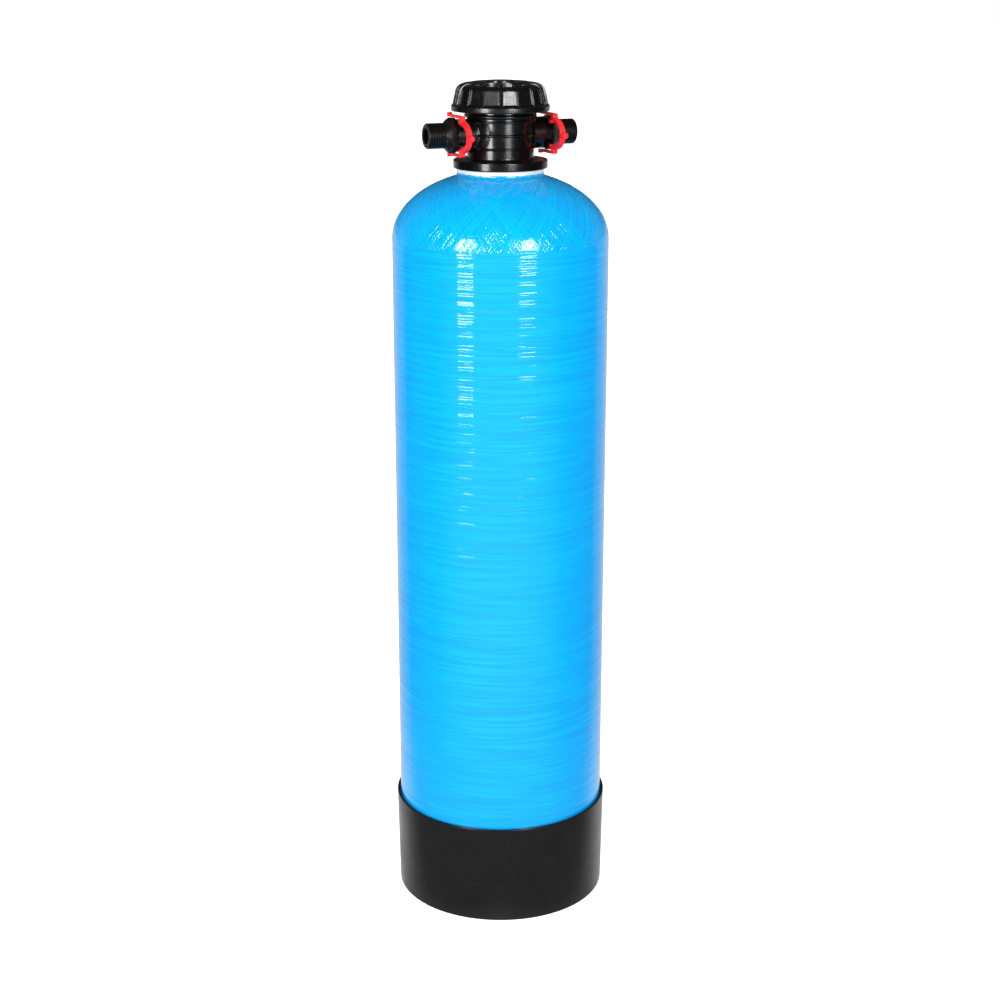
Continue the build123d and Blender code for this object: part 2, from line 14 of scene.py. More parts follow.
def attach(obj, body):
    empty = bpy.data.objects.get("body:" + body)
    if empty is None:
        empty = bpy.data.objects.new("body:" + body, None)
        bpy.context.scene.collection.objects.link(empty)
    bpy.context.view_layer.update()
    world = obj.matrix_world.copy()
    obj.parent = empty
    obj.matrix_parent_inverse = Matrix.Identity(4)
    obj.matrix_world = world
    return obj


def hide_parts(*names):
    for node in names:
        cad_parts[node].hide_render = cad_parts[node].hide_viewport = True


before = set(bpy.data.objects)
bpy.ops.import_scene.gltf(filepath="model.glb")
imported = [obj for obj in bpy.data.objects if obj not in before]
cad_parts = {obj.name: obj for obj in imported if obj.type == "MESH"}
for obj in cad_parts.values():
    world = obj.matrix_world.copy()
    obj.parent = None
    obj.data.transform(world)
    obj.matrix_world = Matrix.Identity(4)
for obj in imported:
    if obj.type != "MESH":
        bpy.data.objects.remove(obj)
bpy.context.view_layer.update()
log = logging.getLogger("cartridge")

MM = 0.001
FULL_TURN = 2 * math.pi
WELD = 0.001 * MM
COPY_WELD = 0.002 * MM
LATHE_WELD = 0.01 * MM
NOISE_SPREAD = (0.3, 0.7)


class Side(Enum):
    """The two ports, by the sign of the x direction that each points in."""

    INLET = -1
    OUTLET = 1

    @property
    def word(self) -> str:
        """Name of the port in node names."""
        return self.name.lower()


class Workshop:
    """Modelling steps that every sub-assembly uses."""

    @staticmethod
    def clear_selection() -> None:
        """Leave edit mode and deselect everything."""
        if bpy.context.object and bpy.context.object.mode != "OBJECT":
            bpy.ops.object.mode_set(mode="OBJECT")
        bpy.ops.object.select_all(action="DESELECT")

    @classmethod
    def pick(cls, obj: bpy.types.Object) -> None:
        """Make one object the only selected and the active one.

        Args:
            obj: The object to work on.
        """
        cls.clear_selection()
        obj.select_set(True)
        bpy.context.view_layer.objects.active = obj

    @classmethod
    def start_point(cls, name: str, place: Vector) -> bpy.types.Object:
        """Start a piece as a single vertex, left in edit mode and selected.

        Args:
            name: Name of the new piece.
            place: Where the vertex lies.

        Returns:
            The new object.
        """
        cls.clear_selection()
        bpy.ops.mesh.primitive_plane_add(size=1 * MM, location=place)
        obj = bpy.context.object
        obj.name = name
        obj.data.name = name
        bpy.ops.object.transform_apply(location=True, rotation=True, scale=True)
        bpy.ops.object.mode_set(mode="EDIT")
        bpy.ops.mesh.select_all(action="SELECT")
        bpy.ops.mesh.merge(type="CENTER")
        return obj

    @classmethod
    def lathe(cls, name: str, profile: list[tuple[float, float]], steps: int) -> bpy.types.Object:
        """Draw a closed profile by extruding a vertex, and spin it about the vessel axis.

        Args:
            name: Name of the new piece.
            profile: Radius and height of each profile point, in metres.
            steps: Faces round the axis.

        Returns:
            The finished mesh object, in object mode.
        """
        points = [Vector((radius, 0.0, height)) for radius, height in profile]
        obj = cls.start_point(name, points[0])
        for here, there in zip(points, points[1:]):
            bpy.ops.mesh.extrude_region_move(TRANSFORM_OT_translate={"value": there - here})
        bpy.ops.mesh.select_all(action="SELECT")
        bpy.ops.mesh.spin(steps=steps, angle=FULL_TURN, center=(0, 0, 0), axis=(0, 0, 1))
        bpy.ops.mesh.select_all(action="SELECT")
        bpy.ops.mesh.remove_doubles(threshold=LATHE_WELD)
        bpy.ops.mesh.normals_make_consistent(inside=False)
        bpy.ops.object.mode_set(mode="OBJECT")
        return obj

    @classmethod
    def copy_node(cls, node: str, name: str) -> bpy.types.Object:
        """Copy a CAD node's mesh into a new object, with its loose triangles merged.

        Args:
            node: The CAD node.
            name: Name of the copy.

        Returns:
            The copy, in object mode.
        """
        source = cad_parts[node]
        obj = bpy.data.objects.new(name, source.data.copy())
        obj.data.name = name
        obj.data.materials.clear()
        bpy.context.scene.collection.objects.link(obj)
        cls.pick(obj)
        if obj.data.has_custom_normals:
            bpy.ops.mesh.customdata_custom_splitnormals_clear()
        bpy.ops.object.mode_set(mode="EDIT")
        bpy.ops.mesh.select_all(action="SELECT")
        bpy.ops.mesh.remove_doubles(threshold=COPY_WELD)
        bpy.ops.object.mode_set(mode="OBJECT")
        return obj

    @classmethod
    def smooth(cls, obj: bpy.types.Object, degrees: float) -> None:
        """Shade a piece smooth, with creases at edges sharper than an angle.

        Args:
            obj: The piece.
            degrees: Angle past which an edge stays sharp.
        """
        cls.pick(obj)
        bpy.ops.object.shade_smooth_by_angle(angle=math.radians(degrees))
        cls.clear_selection()

    @classmethod
    def apply(cls, obj: bpy.types.Object, modifier: bpy.types.Modifier) -> None:
        """Apply one modifier of a piece.

        Args:
            obj: The piece.
            modifier: Its modifier.
        """
        cls.pick(obj)
        bpy.ops.object.modifier_apply(modifier=modifier.name)


def set_range(node: bpy.types.Node, run: tuple[float, float], levels: tuple[float, float]) -> None:
    """Set the numbers of a Map Range node.

    Args:
        node: The node.
        run: Input at the start and at the end.
        levels: Output at the start and at the end.
    """
    names = ("From Min", "From Max", "To Min", "To Max")
    for name, number in zip(names, (*run, *levels)):
        node.inputs[name].default_value = number


class NodeGraph:
    """A material's node tree round one Principled shader, built by short calls."""

    def __init__(self, name: str) -> None:
        """Start a material with an empty graph, a shader and an output.

        Args:
            name: Name of the material.
        """
        self.material = bpy.data.materials.new(name)
        self.material.use_nodes = True
        self.tree = self.material.node_tree
        self.tree.nodes.clear()
        self.shader = self.add("ShaderNodeBsdfPrincipled")
        output = self.add("ShaderNodeOutputMaterial")
        self.link(self.shader.outputs["BSDF"], output.inputs["Surface"])
        self.place = self.add("ShaderNodeTexCoord").outputs["Object"]

    def add(self, kind: str, **settings: object) -> bpy.types.Node:
        """Add a node and set its properties.

        Args:
            kind: Node type.
            **settings: Property values of the node.

        Returns:
            The node.
        """
        node = self.tree.nodes.new(kind)
        for key, value in settings.items():
            setattr(node, key, value)
        return node

    def link(self, source: bpy.types.NodeSocket, target: bpy.types.NodeSocket) -> None:
        """Join an output socket to an input socket."""
        self.tree.links.new(source, target)

    def feed(self, value: object, target: bpy.types.NodeSocket) -> None:
        """Give a socket either a link or a plain value.

        Args:
            value: A socket, a number or a tuple.
            target: The input socket.
        """
        if isinstance(value, bpy.types.NodeSocket):
            self.link(value, target)
        else:
            target.default_value = value

    def math(self, operation: str, *values: object) -> bpy.types.NodeSocket:
        """Work out one Math node.

        Args:
            operation: Name of the operation.
            *values: Its inputs, sockets or numbers.

        Returns:
            The result.
        """
        node = self.add("ShaderNodeMath", operation=operation)
        for value, target in zip(values, node.inputs):
            self.feed(value, target)
        return node.outputs[0]

    def split(self, vector: bpy.types.NodeSocket) -> tuple[bpy.types.NodeSocket, ...]:
        """Split a vector into its three parts."""
        node = self.add("ShaderNodeSeparateXYZ")
        self.link(vector, node.inputs[0])
        return tuple(node.outputs)

    def length(self, x: bpy.types.NodeSocket, y: bpy.types.NodeSocket) -> bpy.types.NodeSocket:
        """Distance from the z axis of a point at x and y."""
        squares = [self.math("MULTIPLY", part, part) for part in (x, y)]
        return self.math("SQRT", self.math("ADD", *squares))

    def join(self, *parts: object) -> bpy.types.NodeSocket:
        """Make a vector of three parts, sockets or numbers."""
        node = self.add("ShaderNodeCombineXYZ")
        for value, target in zip(parts, node.inputs):
            self.feed(value, target)
        return node.outputs[0]

    def stretch(self, scale: tuple[float, float, float],
                turn: tuple[float, float, float] = (0, 0, 0)) -> bpy.types.NodeSocket:
        """Scale and turn the object coordinates.

        Args:
            scale: Scale along x, y and z, in features per metre.
            turn: Rotation in radians.

        Returns:
            The mapped coordinates.
        """
        node = self.add("ShaderNodeMapping")
        self.link(self.place, node.inputs["Vector"])
        node.inputs["Rotation"].default_value = turn
        node.inputs["Scale"].default_value = scale
        return node.outputs[0]

    def noise(self, vector: bpy.types.NodeSocket, scale: float = 1.0, detail: float = 2.0,
              roughness: float = 0.5) -> bpy.types.NodeSocket:
        """Noise between about 0 and 1.

        Args:
            vector: Where it is read.
            scale: Features per unit of the vector.
            detail: Octaves.
            roughness: Share of the finer octaves.

        Returns:
            The noise value.
        """
        node = self.add("ShaderNodeTexNoise")
        self.link(vector, node.inputs["Vector"])
        node.inputs["Scale"].default_value = scale
        node.inputs["Detail"].default_value = detail
        node.inputs["Roughness"].default_value = roughness
        return node.outputs[0]

    def between(self, value: bpy.types.NodeSocket, low: float, high: float,
                start: float = 0.0, end: float = 1.0) -> bpy.types.NodeSocket:
        """Map a value from one range to another, held at both ends."""
        node = self.add("ShaderNodeMapRange")
        self.link(value, node.inputs["Value"])
        set_range(node, (low, high), (start, end))
        return node.outputs[0]

    def pass_over(self, share: bpy.types.NodeSocket, first: bpy.types.NodeSocket,
                  second: bpy.types.NodeSocket) -> bpy.types.NodeSocket:
        """Pass from one value to another.

        Args:
            share: Share of the second value.
            first: First value.
            second: Second value.

        Returns:
            The mixed value.
        """
        node = self.add("ShaderNodeMix")
        for source, target in ((share, 0), (first, 2), (second, 3)):
            self.link(source, node.inputs[target])
        return node.outputs[0]

    def blend(self, share: object, first: object, second: object) -> bpy.types.NodeSocket:
        """Mix two colours.

        Args:
            share: Share of the second colour.
            first: First colour, a socket or a tuple.
            second: Second colour, a socket or a tuple.

        Returns:
            The mixed colour.
        """
        node = self.add("ShaderNodeMix", data_type="RGBA")
        self.feed(share, node.inputs[0])
        self.feed(first, node.inputs[6])
        self.feed(second, node.inputs[7])
        return node.outputs[2]

    def raise_surface(self, height: bpy.types.NodeSocket, depth: float,
                      strength: float = 1.0) -> None:
        """Add bump to the shader's normal, over what is there already.

        Args:
            height: Height between 0 and 1.
            depth: Depth in metres of a full step.
            strength: Share of the bump that shows.
        """
        node = self.add("ShaderNodeBump")
        node.inputs["Strength"].default_value = strength
        node.inputs["Distance"].default_value = depth
        self.link(height, node.inputs["Height"])
        links = self.shader.inputs["Normal"].links
        if links:
            self.link(links[0].from_socket, node.inputs["Normal"])
        self.link(node.outputs[0], self.shader.inputs["Normal"])

    def set(self, **values: object) -> None:
        """Set the shader's own sockets by name, with underscores for spaces."""
        for key, value in values.items():
            self.feed(value, self.shader.inputs[key.replace("_", " ")])


def color(red: float, green: float, blue: float) -> tuple[float, float, float, float]:
    """An opaque linear colour."""
    return (red, green, blue, 1.0)


@dataclass(frozen=True)
class VesselForm:
    """Outer form of the wound vessel, in metres: a cylinder, elliptical domes and a neck."""

    radius: float = 0.1155
    dome: float = 0.072
    lower: float = 0.086
    upper: float = 0.748
    neck_radius: float = 0.046
    neck_top: float = 0.8178
    crossing_blur: float = 0.002

    @property
    def steepest(self) -> float:
        """Rise over radius at which a strand that grazes the neck has turned a quarter."""
        return math.sqrt(self.radius ** 2 - self.neck_radius ** 2) / self.neck_radius


@dataclass(frozen=True)
class WoundResin(VesselForm):
    """Blue resin over glass fibre: hoop bands on the cylinder, crossing strands on the dome."""

    body: tuple = color(0.0010, 0.385, 0.910)
    pale: tuple = color(0.0020, 0.470, 0.960)
    deep: tuple = color(0.0006, 0.335, 0.870)
    bare: tuple = color(0.80, 0.84, 0.88)
    strand_counts: tuple = (42, 38)
    ledge: tuple = (0.42, 0.58)
    hoop_scale: tuple = (11, 11, 520)
    hoop_turn: tuple = (0.010, 0.016, 0)
    hoop_share: float = 0.28
    hoop_tones: tuple = (0.10, 0.90)
    band_scale: tuple = (4, 4, 95)
    band_turn: tuple = (0.008, 0.014, 0)
    fine_scale: tuple = (16, 16, 900)
    fine_turn: tuple = (0.012, 0.018, 0)
    cloud_scale: float = 14.0
    cloud_shares: tuple = (0.15, 0.55)
    ragged: float = 0.0045
    ragged_scale: float = 90.0
    bare_edge: tuple = (0.0018, 0.0024)
    roughness: tuple = (0.30, 0.22)
    band_depth: float = 0.5 * MM
    ledge_depth: float = 0.26 * MM
    fine_depth: float = 0.04 * MM

    def strands(self, graph: NodeGraph, turn: float, per_radian: float) -> bpy.types.NodeSocket:
        """One family of dome strands, which leave the neck on a tangent.

        Args:
            graph: The graph to add to.
            turn: 1 or -1, the way the strands lean.
            per_radian: Strands per radian.

        Returns:
            Height of the strands, between 0 and 1.
        """
        x, y, z = graph.split(graph.place)
        rise = graph.math("DIVIDE", graph.math("SUBTRACT", z, self.upper), graph.length(x, y))
        rise = graph.math("MULTIPLY", rise, self.radius / (self.dome * self.steepest))
        lean = graph.math("ARCSINE", graph.math("MINIMUM", graph.math("MAXIMUM", rise, 0.0), 1.0))
        phase = graph.math("ADD", graph.math("ARCTAN2", y, x), graph.math("MULTIPLY", lean, turn))
        circle = graph.join(graph.math("MULTIPLY", graph.math("COSINE", phase), per_radian),
                            graph.math("MULTIPLY", graph.math("SINE", phase), per_radian), turn)
        return graph.between(graph.noise(circle, detail=1.0), *self.ledge)

    def neck_edge(self, graph: NodeGraph) -> bpy.types.NodeSocket:
        """Where the bare glass shows above the ragged edge of the blue resin, 0 or 1."""
        x, y, z = graph.split(graph.place)
        frayed = graph.noise(graph.join(x, y, 0.0), scale=self.ragged_scale)
        height = graph.math("ADD", z, graph.math("MULTIPLY", frayed, self.ragged))
        start, end = (self.neck_top + above for above in self.bare_edge)
        return graph.between(height, start, end)

    def material(self) -> bpy.types.Material:
        """Build the material."""
        graph = NodeGraph("wound_resin")
        fine = graph.noise(graph.stretch(self.fine_scale, self.fine_turn), roughness=0.6)
        hoops = graph.noise(graph.stretch(self.hoop_scale, self.hoop_turn), detail=1.0)
        hoops = graph.between(hoops, *self.ledge)
        bands = graph.noise(graph.stretch(self.band_scale, self.band_turn))
        first, second = (self.strands(graph, turn, count)
                         for turn, count in zip((1, -1), self.strand_counts))
        crossing = graph.math("MAXIMUM", first, second)
        over_dome = graph.between(graph.split(graph.place)[2], self.upper - self.crossing_blur,
                                  self.upper + self.crossing_blur)
        relief = graph.pass_over(over_dome, hoops, crossing)
        calm_hoops = graph.between(hoops, 0.0, 1.0, *self.hoop_tones)
        tone = graph.blend(graph.pass_over(over_dome, calm_hoops, crossing), self.deep, self.pale)
        cloud = graph.between(graph.noise(graph.place, scale=self.cloud_scale), *NOISE_SPREAD,
                              *self.cloud_shares)
        tone = graph.blend(cloud, tone, self.body)
        graph.set(Base_Color=graph.blend(self.neck_edge(graph), tone, self.bare),
                  Roughness=graph.between(relief, *NOISE_SPREAD, *self.roughness),
                  Specular_IOR_Level=0.05, Coat_Weight=1.0, Coat_Roughness=0.03, Coat_IOR=1.75)
        share = graph.between(over_dome, 0.0, 1.0, self.hoop_share, 1.0)
        graph.raise_surface(bands, self.band_depth)
        graph.raise_surface(graph.math("MULTIPLY", relief, share), self.ledge_depth)
        graph.raise_surface(fine, self.fine_depth)
        normal = graph.shader.inputs["Normal"].links[0].from_socket
        graph.link(normal, graph.shader.inputs["Coat Normal"])
        return graph.material


@dataclass(frozen=True)
class MouldedPlastic:
    """Moulded plastic with a fine grain, a slow ripple and faint scuffs."""

    name: str
    body: tuple
    worn: tuple
    roughness: float = 0.38
    smoother: float = 0.05
    rougher: float = 0.07
    grain: float = 2400.0
    grain_depth: float = 0.05 * MM
    grain_share: float = 0.5
    ripple: float = 70.0
    ripple_depth: float = 0.4 * MM
    ripple_share: float = 0.35
    scuff: float = 0.25
    scratch_scale: tuple = (60, 60, 900)
    scratch_turn: tuple = (0.4, 0.2, 0.3)
    scratch_cut: tuple = (0.60, 0.78)
    coat: float = 0.0
    coat_roughness: float = 0.12
    index: float = 1.5
    seam_z: float | None = None
    seam_width: float = 0.8 * MM
    seam_depth: float = 0.2 * MM

    def material(self) -> bpy.types.Material:
        """Build the material."""
        graph = NodeGraph(self.name)
        grain = graph.noise(graph.place, scale=self.grain)
        ripple = graph.noise(graph.place, scale=self.ripple)
        scratches = graph.noise(graph.stretch(self.scratch_scale, self.scratch_turn), detail=4.0,
                                roughness=0.7)
        marks = graph.math("MULTIPLY", graph.between(scratches, *self.scratch_cut), self.scuff)
        roughness = graph.between(ripple, *NOISE_SPREAD, self.roughness - self.smoother,
                                  self.roughness + self.rougher)
        graph.set(Base_Color=graph.blend(marks, self.body, self.worn), Roughness=roughness,
                  IOR=self.index, Coat_Weight=self.coat, Coat_Roughness=self.coat_roughness)
        graph.raise_surface(ripple, self.ripple_depth, self.ripple_share)
        graph.raise_surface(grain, self.grain_depth, self.grain_share)
        if self.seam_z is not None:
            height = graph.split(graph.place)[2]
            away = graph.math("ABSOLUTE", graph.math("SUBTRACT", height, self.seam_z))
            line = graph.between(away, 0.0, self.seam_width, 1.0, 0.0)
            graph.raise_surface(line, self.seam_depth)
        return graph.material


@dataclass(frozen=True)
class GlossyRed:
    """Red moulded acetal of the clips, slightly translucent at its thin edges."""

    body: tuple = color(0.900, 0.012, 0.018)
    warm: tuple = color(0.960, 0.028, 0.030)
    tint: tuple = (0.35, 0.65)
    roughness: tuple = (0.32, 0.42)
    ripple: float = 220.0
    ripple_depth: float = 0.15 * MM

    def material(self) -> bpy.types.Material:
        """Build the material."""
        graph = NodeGraph("clip_red")
        ripple = graph.noise(graph.place, scale=self.ripple)
        graph.set(Base_Color=graph.blend(graph.between(ripple, *self.tint), self.body, self.warm),
                  Roughness=graph.between(ripple, *NOISE_SPREAD, *self.roughness), IOR=1.40,
                  Subsurface_Weight=0.12, Subsurface_Scale=1.2 * MM)
        graph.raise_surface(ripple, self.ripple_depth, 0.4)
        return graph.material


@dataclass(frozen=True)
class ResinBeads:
    """Moist ion-exchange beads, amber and dark mixed."""

    amber: tuple = color(0.46, 0.24, 0.06)
    dark: tuple = color(0.10, 0.055, 0.03)
    mix: tuple = (0.45, 0.55)
    mix_scale: float = 900.0
    beads_per_metre: float = 1300.0
    bead_depth: float = 0.4 * MM

    def material(self) -> bpy.types.Material:
        """Build the material."""
        graph = NodeGraph("resin_beads")
        cells = graph.add("ShaderNodeTexVoronoi")
        graph.link(graph.place, cells.inputs["Vector"])
        cells.inputs["Scale"].default_value = self.beads_per_metre
        pick = graph.noise(graph.place, scale=self.mix_scale, detail=1.0)
        graph.set(Base_Color=graph.blend(graph.between(pick, *self.mix), self.amber, self.dark),
                  Roughness=0.45)
        beads = graph.math("SUBTRACT", 1.0, cells.outputs["Distance"])
        graph.raise_surface(beads, self.bead_depth)
        return graph.material


@dataclass(frozen=True)
class SealRubber:
    """Black seal rubber with a faint bloom."""

    body: tuple = color(0.018, 0.018, 0.019)
    bloom: tuple = color(0.045, 0.045, 0.047)
    patches: tuple = (0.4, 0.7)
    patch_scale: float = 500.0
    bloom_depth: float = 0.05 * MM
    bloom_share: float = 0.5

    def material(self) -> bpy.types.Material:
        """Build the material."""
        graph = NodeGraph("seal_rubber")
        bloom = graph.noise(graph.place, scale=self.patch_scale, detail=3.0)
        shown = graph.between(bloom, *self.patches)
        graph.set(Base_Color=graph.blend(shown, self.body, self.bloom), Roughness=0.5)
        graph.raise_surface(bloom, self.bloom_depth, self.bloom_share)
        return graph.material


class Finishes:
    """Every material of the cartridge, made once."""

    def __init__(self) -> None:
        """Make the materials."""
        black = color(0.0028, 0.0028, 0.0030)
        gray = color(0.020, 0.020, 0.021)
        self.winding = WoundResin().material()
        self.boot = MouldedPlastic("boot_black", color(0.0085, 0.0085, 0.0092),
                                   color(0.022, 0.022, 0.023), roughness=0.24, ripple=24,
                                   ripple_depth=0.3 * MM, scuff=0.4, seam_z=0.043).material()
        self.head = MouldedPlastic("head_black", black, gray, roughness=0.22, ripple=130,
                                   ripple_depth=0.2 * MM, coat=0.5, index=1.5).material()
        self.cap = MouldedPlastic("cap_black", black, gray, roughness=0.27, grain=1500,
                                  grain_depth=0.12 * MM, ripple=90, coat=0.5, index=1.6).material()
        self.adapter = MouldedPlastic("adapter_black", color(0.0050, 0.0049, 0.0049), gray,
                                      roughness=0.30, ripple=160, ripple_depth=0.2 * MM,
                                      coat=0.2).material()
        self.liner = MouldedPlastic("liner_white", color(0.86, 0.87, 0.88),
                                    color(0.74, 0.76, 0.78), roughness=0.42, ripple=60).material()
        self.strainer = MouldedPlastic("strainer_gray", color(0.62, 0.63, 0.64),
                                       color(0.5, 0.5, 0.5), roughness=0.45).material()
        self.clip = GlossyRed().material()
        self.beads = ResinBeads().material()
        self.rubber = SealRubber().material()


def dress(node: str, material: bpy.types.Material) -> None:
    """Give a CAD node its material.

    Args:
        node: Name of the node.
        material: Its finish.
    """
    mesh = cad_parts[node].data
    mesh.materials.clear()
    mesh.materials.append(material)
    log.info("dressed %s", node)


def seat(piece: bpy.types.Object, node: str, body: str,
         material: bpy.types.Material) -> None:
    """Let a new piece stand for a CAD node: its body and finish.

    Args:
        piece: The new piece.
        node: The node that it replaces.
        body: The body that it rides on.
        material: Its finish.
    """
    piece.data.materials.clear()
    piece.data.materials.append(material)
    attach(piece, body)
    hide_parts(node)
    log.info("built %s for %s", piece.name, node)


@dataclass(frozen=True)
class WoundVessel(VesselForm):
    """The wound shell with real winding relief, its liner, boot and inner pieces.

    A hoop wave is its pitch, its turns round the axis and its share of the relief. A strand wave
    is its count round the axis, the way it leans and its share.
    """

    wall: float = 0.0033
    side_share: float = 0.6
    skin_margin: float = 0.6 * MM
    neck_inner: float = 0.0421
    neck_blend: float = 0.0046
    blend_overlap: float = 0.0012
    blend_rise: float = 0.0033
    blend_points: int = 6
    crease: float = 40.0
    steps: int = 176
    band_step: float = 0.0028
    dome_points: int = 26
    relief: float = 0.00014
    hoop_waves: tuple = ((0.0062, 3, 0.5), (0.0097, -2, 0.35), (0.0171, 1, 0.4))
    strand_waves: tuple = ((23, 1, 0.5), (31, -1, 0.5), (47, 1, 0.3), (41, -1, 0.3))

    def outer_profile(self) -> list[tuple[float, float]]:
        """Outer section from the bottom pole up to the neck's top."""
        points = []
        for index in range(self.dome_points + 1):
            angle = -math.pi / 2 + index * math.pi / 2 / self.dome_points
            points.append((self.radius * math.cos(angle), self.lower + self.dome * math.sin(angle)))
        rows = round((self.upper - self.lower) / self.band_step)
        points += [(self.radius, self.lower + row * (self.upper - self.lower) / rows)
                   for row in range(1, rows)]
        blend_radius = self.neck_radius + self.neck_blend
        last = math.acos((blend_radius - self.blend_overlap) / self.radius)
        for index in range(self.dome_points * 2 + 1):
            angle = index * last / (self.dome_points * 2)
            points.append((self.radius * math.cos(angle), self.upper + self.dome * math.sin(angle)))
        start = Vector(points[-1])
        neck_angle = math.acos(self.neck_radius / self.radius)
        corner = Vector((self.neck_radius, self.upper + self.dome * math.sin(neck_angle)))
        finish = corner + Vector((0, self.blend_rise))
        for index in range(1, self.blend_points + 1):
            share = index / self.blend_points
            bend = start.lerp(corner, share).lerp(corner.lerp(finish, share), share)
            points.append((bend.x, bend.y))
        points.append((self.neck_radius, self.neck_top))
        return points

    def inner_profile(self) -> list[tuple[float, float]]:
        """Inner section from the neck's top back down to the bottom pole."""
        radius, dome = self.radius - self.wall, self.dome - self.wall
        points = [(self.neck_inner, self.neck_top)]
        first = math.acos(self.neck_inner / radius)
        for index in range(self.dome_points + 1):
            angle = first * (1 - index / self.dome_points)
            points.append((radius * math.cos(angle), self.upper + dome * math.sin(angle)))
        for index in range(self.dome_points + 1):
            angle = -index * math.pi / 2 / self.dome_points
            points.append((radius * math.cos(angle), self.lower + dome * math.sin(angle)))
        return points

    def wave(self, theta: float, radius: float, height: float) -> float:
        """Height of the winding relief at a point of the outer surface, about -1 to 1.

        Args:
            theta: Angle round the axis.
            radius: Distance from the axis.
            height: Height above the floor.

        Returns:
            The relief.
        """
        hoops = sum(share * math.sin(FULL_TURN * height / pitch + turns * theta)
                    for pitch, turns, share in self.hoop_waves)
        rise = (height - self.upper) / radius * self.radius / (self.dome * self.steepest)
        lean = math.asin(min(1.0, max(0.0, rise)))
        strands = sum(share * math.sin(count * (theta + way * lean))
                      for count, way, share in self.strand_waves)
        above = height - self.upper + self.crossing_blur
        on_dome = min(1.0, max(0.0, above / (2 * self.crossing_blur)))
        return hoops * (1 - on_dome) + strands * on_dome

    def build_skin(self) -> bpy.types.Object:
        """Model the wound shell as one closed piece with its winding relief."""
        outer = self.outer_profile()
        skin = Workshop.lathe("wound_skin", outer + self.inner_profile(), self.steps)
        least = self.radius - self.wall * self.side_share
        for vertex in skin.data.vertices:
            x, y, z = vertex.co
            radius = math.hypot(x, y)
            if radius < self.skin_margin or not self.is_outside(radius, z):
                continue
            theta = math.atan2(y, x)
            push = self.relief * self.wave(theta, radius, z)
            along = Vector((x / radius, y / radius, 0)) if radius > least else vertex.normal
            vertex.co += along * push
        Workshop.smooth(skin, self.crease)
        return skin

    def is_outside(self, radius: float, height: float) -> bool:
        """Whether a vertex lies on the outer surface, by its radius and height."""
        if height > self.upper:
            rise = (height - self.upper) / self.dome
            surface = self.radius * math.sqrt(max(0.0, 1 - rise * rise))
            return radius > max(self.neck_radius, surface) - self.skin_margin
        if height < self.lower:
            drop = (self.lower - height) / self.dome
            surface = self.radius * math.sqrt(max(0.0, 1 - drop * drop))
            return radius > surface - self.skin_margin
        return radius > self.radius - self.skin_margin

    def build(self, finishes: Finishes) -> None:
        """Model and dress the vessel.

        Args:
            finishes: The materials.
        """
        seat(self.build_skin(), "wound_shell", "vessel", finishes.winding)
        dress("vessel_liner", finishes.liner)
        dress("base_boot", finishes.boot)
        dress("resin_bed", finishes.beads)
        dress("riser_tube", finishes.liner)
        for node in ("strainer_basket", "strainer_hub", "upper_strainer"):
            dress(node, finishes.strainer)


